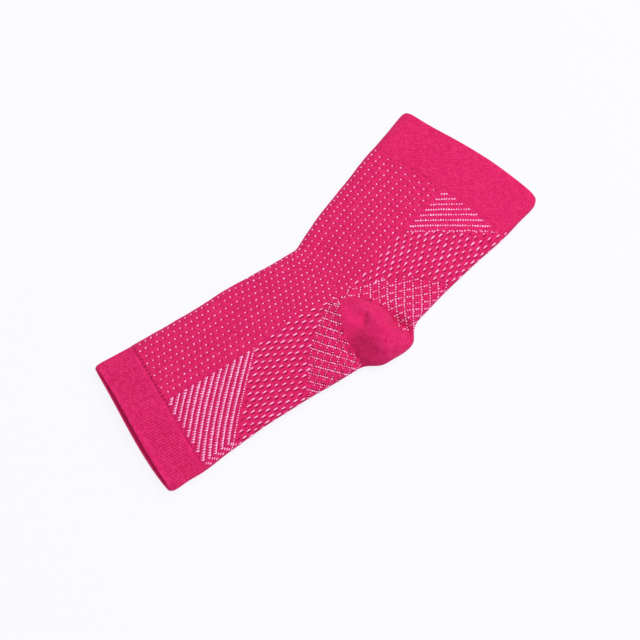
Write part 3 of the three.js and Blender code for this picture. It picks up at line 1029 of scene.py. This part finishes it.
def bumpOf(tree, height, strength, distance):
    inputs = {"Height": height, "Strength": strength, "Distance": distance * mm}
    return addNode(tree, "ShaderNodeBump", inputs).outputs["Normal"]


halfStep, halfPitch = stripeStep / 2, paleYarn["stripePitch"] / 2
besideStripe = 1.3 - halfStep  # courses from a stripe to the painted pit shade on both sides of it

# Painted shade in the recesses beside the pale stitches: the zone and lattice the pits sit on, where they
# lie beside its places and how large they are, in wales and courses, and how dark
paintedPitShades = (
    ("dotted", (0.7, 0.9), (0.7, 0.7), 0.35),
    ("footStripes", (halfStep, besideStripe), (0.36, 0.6), 0.6),
    ("footStripes", (-halfStep, -besideStripe), (0.4, 0.7), 0.9),
    ("footStripes", (0, halfPitch), (0.8, 1.1), 0.3),
    ("footDashes", (1.0, 0), (0.55, 1.7), 0.6),
    ("ankleDashes", (1.0, -0.4), (0.6, 1.3), 0.5),
    ("footNet", (-0.4, 0.55), (1.0, 1.0), 0.6),
    ("footNet", (1.3, 0.5), (0.9, 0.9), 0.5),
    ("footNet", (-1.5, 1.6), (0.8, 0.8), 0.38),
    ("ankleNet", (0.7, 0.1), (0.7, 0.7), 0.5),
    ("ankleNet", (-0.7, 1.6), (0.6, 0.6), 0.4),
    ("toeJoint", (0, 0), (0.8, 0.6), 0.8),
)


def addPaintedPitShade(tree, coordinates):
    # all the painted pit shade of the sleeve body, as one value
    total = None
    for zone, offset, size, depth in paintedPitShades:
        start, (firstX, firstY, secondX, secondY) = lattices[zone]
        area = firstX * secondY - firstY * secondX
        inputs = {
            "Coordinates": coordinates,
            "Start": (*start, 0),
            "First axis": (secondY / area, -secondX / area, 0),
            "Second axis": (-firstY / area, firstX / area, 0),
            "First step": (firstX, firstY, 0),
            "Second step": (secondX, secondY, 0),
            "Offset": (*offset, 0),
            "Size": (*size, 1),
        }
        pits = addNode(tree, "ShaderNodeGroup", inputs, node_tree=pitShadeGroup)
        inside = mathOf(tree, "MULTIPLY", attributeOf(tree, zone), depth)
        shade = mathOf(tree, "MULTIPLY", pits.outputs["Pit"], inside)
        total = shade if total is None else mathOf(tree, "MAXIMUM", total, shade)
    return total


# How each knit looks: colour, turn of its loops in degrees, how ribbed it is, how dark the painted shade in
# its gaps is and how dark its loops are, and its bump in millimetres
knitLooks = {
    "body_knit": {"colour": "body", "turn": 0, "rib": 0, "gap": 0.3, "tone": 0.22, "bump": 0.4},
    "heel_knit": {"colour": "heel", "turn": 0, "rib": 0.9, "gap": 0.6, "tone": 0.06, "bump": 0.3},
    "toe_rib_knit": {"colour": "toe", "turn": 0, "rib": 0.8, "gap": 0.5, "tone": 0.2, "bump": 0.3},
    "ankle_knit": {"colour": "ankle", "turn": 45, "rib": 0.6, "gap": 0.5, "tone": 0.12, "bump": 0.3},
    "reverse_knit": {"colour": "reverse", "turn": 0, "rib": 0, "gap": 0.3, "tone": 0.2, "bump": 0.3},
}
knitFinish = {
    "bumpStrength": 0.6,
    "fuzzBump": 0.4,  # share of the fuzz in the bump
    "leastPitShade": 0.45,  # the painted pit shade varies from this by the loops' tone
    # painted shade in the heel's valley, as a share of the deep colour
    "paintedValleyShade": 0.42,
}


def makeKnitMaterial(name):
    look = knitLooks[name]
    material, tree, shader = startMaterial(name)
    uv = addNode(tree, "ShaderNodeUVMap", {}, uv_map="UVMap").outputs["UV"]
    turn = (0, 0, math.radians(look["turn"]))
    turned = addNode(tree, "ShaderNodeMapping", {"Vector": uv, "Rotation": turn})
    coordinates = {"Coordinates": turned.outputs["Vector"], "Rib": look["rib"]}
    loops = addNode(tree, "ShaderNodeGroup", coordinates, node_tree=loopsGroup)
    inputs = {
        "Colour": yarnColours[look["colour"]],
        "Deep": yarnColours["deep"],
        "Light": yarnColours["light"],
        "Gap": loops.outputs["Gap"],
        "Tone": loops.outputs["Tone"],
        "Gap shade share": look["gap"],
        "Tone share": look["tone"],
    }
    yarn = addNode(tree, "ShaderNodeGroup", inputs, node_tree=yarnGroup)
    fuzz = mathOf(tree, "MULTIPLY", yarn.outputs["Fuzz"], knitFinish["fuzzBump"])
    height = mathOf(tree, "ADD", loops.outputs["Height"], fuzz)
    if name == "body_knit":
        # painted shade in the pits beside the pale stitches, which also sink the bump
        uneven = mathOf(tree, "ADD", loops.outputs["Tone"], knitFinish["leastPitShade"])
        shade = mathOf(tree, "MULTIPLY", addPaintedPitShade(tree, uv), uneven)
        feed(tree, yarn, {"Shade": shade})
        height = mathOf(tree, "SUBTRACT", height, shade)
    if name in ("toe_rib_knit", "heel_knit"):  # parts of these have no ribs, and there the gaps get no painted shade
        ribbed = attributeOf(tree, "ribbed")
        feed(tree, yarn, {"Gap shade share": mathOf(tree, "MULTIPLY", ribbed, look["gap"])})
    if name == "heel_knit":
        # painted shade where the heel's fabric dips into its valley
        shade = mathOf(tree, "MULTIPLY", attributeOf(tree, "valley"), knitFinish["paintedValleyShade"])
        feed(tree, yarn, {"Shade": shade})
        height = mathOf(tree, "MULTIPLY", height, ribbed)
    normal = bumpOf(tree, height, knitFinish["bumpStrength"], look["bump"])
    feed(tree, shader, {"Base Color": yarn.outputs["Colour"], "Normal": normal})
    return material


paleFinish = {
    "toneShare": 0.4,  # how far single stitches go towards the deeper tone
    "bumpStrength": 0.3,
    "bump": 0.1,
}


def makePaleMaterial():
    material, tree, shader = startMaterial("pale_yarn")
    fibres = noiseOf(tree, "paleFibres")
    fresh = mixOf(tree, fibres, yarnColours["pale"], yarnColours["paleLight"])
    toneShare = mathOf(tree, "MULTIPLY", attributeOf(tree, "tone"), paleFinish["toneShare"])
    colour = mixOf(tree, toneShare, fresh, yarnColours["paleDeep"])
    normal = bumpOf(tree, fibres, paleFinish["bumpStrength"], paleFinish["bump"])
    feed(tree, shader, {"Base Color": colour, "Normal": normal})
    return material


# The pieces
body = makeSleeveBody()
heel = makeHeelPocket()
toe = makeToeCuff()
ankle = makeAnkleCuff()

stitch = modelStitch("stitch_pattern")
footStripes, ankleStripes, specks = stripePlaces()
stitchKinds = {  # places, width, length, slant and unevenness of each kind of stitch
    "pale_dots": [(dotPlaces(), 0.86, 0.86, 0, 0.12)],
    "pale_dashes": [
        (latticePlaces("footDashes"), 0.72, 2.6, 0, 0.1),
        (latticePlaces("ankleDashes"), 0.72, 2.4, 0, 0.2),
        (foldTickPlaces(), 0.62, 1.5, -0.6, 0.1),
    ],
    "pale_stripes": [
        (footStripes + paleYarn["toothShift"], 0.64, 1.85, 0.47, 0.12),
        (footStripes + paleYarn["coreShift"], 0.62, 1.6, -1, 0.08),
        (ankleStripes, 1.0, 1.0, 0, 0.18),
        (specks, 0.85, 0.8, 0, 0.25),
    ],
    "pale_net": [
        (latticePlaces("footNet", paleYarn["footNetDashes"]), 0.72, 0.88, 1.35, 0.28),
        (latticePlaces("footNet", paleYarn["footNetDots"]), 0.58, 0.52, 0, 0.25),
        (latticePlaces("ankleNet", paleYarn["ankleNetDots"]), 0.9, 0.8, 0, 0.18),
        (np.array(paleYarn["apex"]), 0.95, 0.9, 0, 0.15),
    ],
}
pale = {name: plantStitches(name, stitch, groups) for name, groups in stitchKinds.items()}
bpy.data.objects.remove(stitch)

knits = (
    (body, "sleeve_body", "body_knit"),
    (heel, "heel_pocket", "heel_knit"),
    (toe, "toe_cuff", "toe_rib_knit"),
    (ankle, "ankle_cuff", "ankle_knit"),
)
# the reverse side carries painted light: a lighter colour in the shaded insides
reverseMaterial = makeKnitMaterial("reverse_knit")
for piece, node, slotName in knits:
    piece.material_slots[0].material = makeKnitMaterial(slotName)
    piece.material_slots[1].material = reverseMaterial
    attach(piece, "root")
    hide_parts(node)
paleMaterial = makePaleMaterial()
for piece in pale.values():
    piece.data.materials.append(paleMaterial)
    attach(piece, "root")
print("materials set")

# Studio: pale floor, one wide soft light from the right of the picture and an even surround
studio = {
    "target": (-9.75, -37.58, 0),  # from the kink, in millimetres
    "azimuth": -32.9,
    "elevation": 70,
    "lens": 85,
    "sensor": 36,
    "distance": 776,
    "floorSize": 6,
    "floorColour": (0.08, 0.08, 0.08, 1),
    "floorGlow": (0.96, 0.96, 1.0, 1),  # the floor is a light table
    "floorGlowStrength": 0.9,
    "surround": (0.98, 0.98, 1.0, 1),
    "surroundStrength": 0.52,
    "keyPower": 27,
    "keySize": 1.3,
    "keyPlace": (0.65, -0.15, 1.45),
}


def makeStudio():
    bpy.ops.object.select_all(action="DESELECT")
    bpy.ops.mesh.primitive_plane_add(size=studio["floorSize"])
    floor = bpy.context.active_object
    floor.name = "floor"
    material = bpy.data.materials.new("floor_paper")
    material.use_nodes = True
    shader = material.node_tree.nodes["Principled BSDF"]
    inputs = {
        "Base Color": studio["floorColour"],
        "Roughness": 1,
        "Specular IOR Level": 0,
        "Emission Color": studio["floorGlow"],
        "Emission Strength": studio["floorGlowStrength"],
    }
    feed(material.node_tree, shader, inputs)
    floor.data.materials.append(material)

    world = bpy.data.worlds.new("surround")
    world.use_nodes = True
    background = world.node_tree.nodes["Background"]
    feed(world.node_tree, background, {"Color": studio["surround"], "Strength": studio["surroundStrength"]})
    bpy.context.scene.world = world

    bpy.ops.object.light_add(type="AREA", location=studio["keyPlace"])
    key = bpy.context.active_object
    key.name = "soft_key"
    key.data.energy = studio["keyPower"]
    key.data.size = studio["keySize"]
    aim = -key.location
    key.rotation_euler = aim.to_track_quat("-Z", "Y").to_euler()

    tilt, turn = math.radians(90 - studio["elevation"]), math.radians(studio["azimuth"])
    back = np.array([math.sin(turn) * math.sin(tilt), -math.cos(turn) * math.sin(tilt), math.cos(tilt)])
    place = (np.array(studio["target"]) + kinkPlace + back * studio["distance"]) * mm
    bpy.ops.object.camera_add(location=place.tolist(), rotation=(tilt, 0, turn))
    camera = bpy.context.active_object
    camera.name = "photo_camera"
    camera.data.lens = studio["lens"]
    camera.data.sensor_width = studio["sensor"]
    bpy.context.scene.camera = camera
    bpy.context.scene.view_settings.view_transform = "Standard"
    print("studio set")


makeStudio()
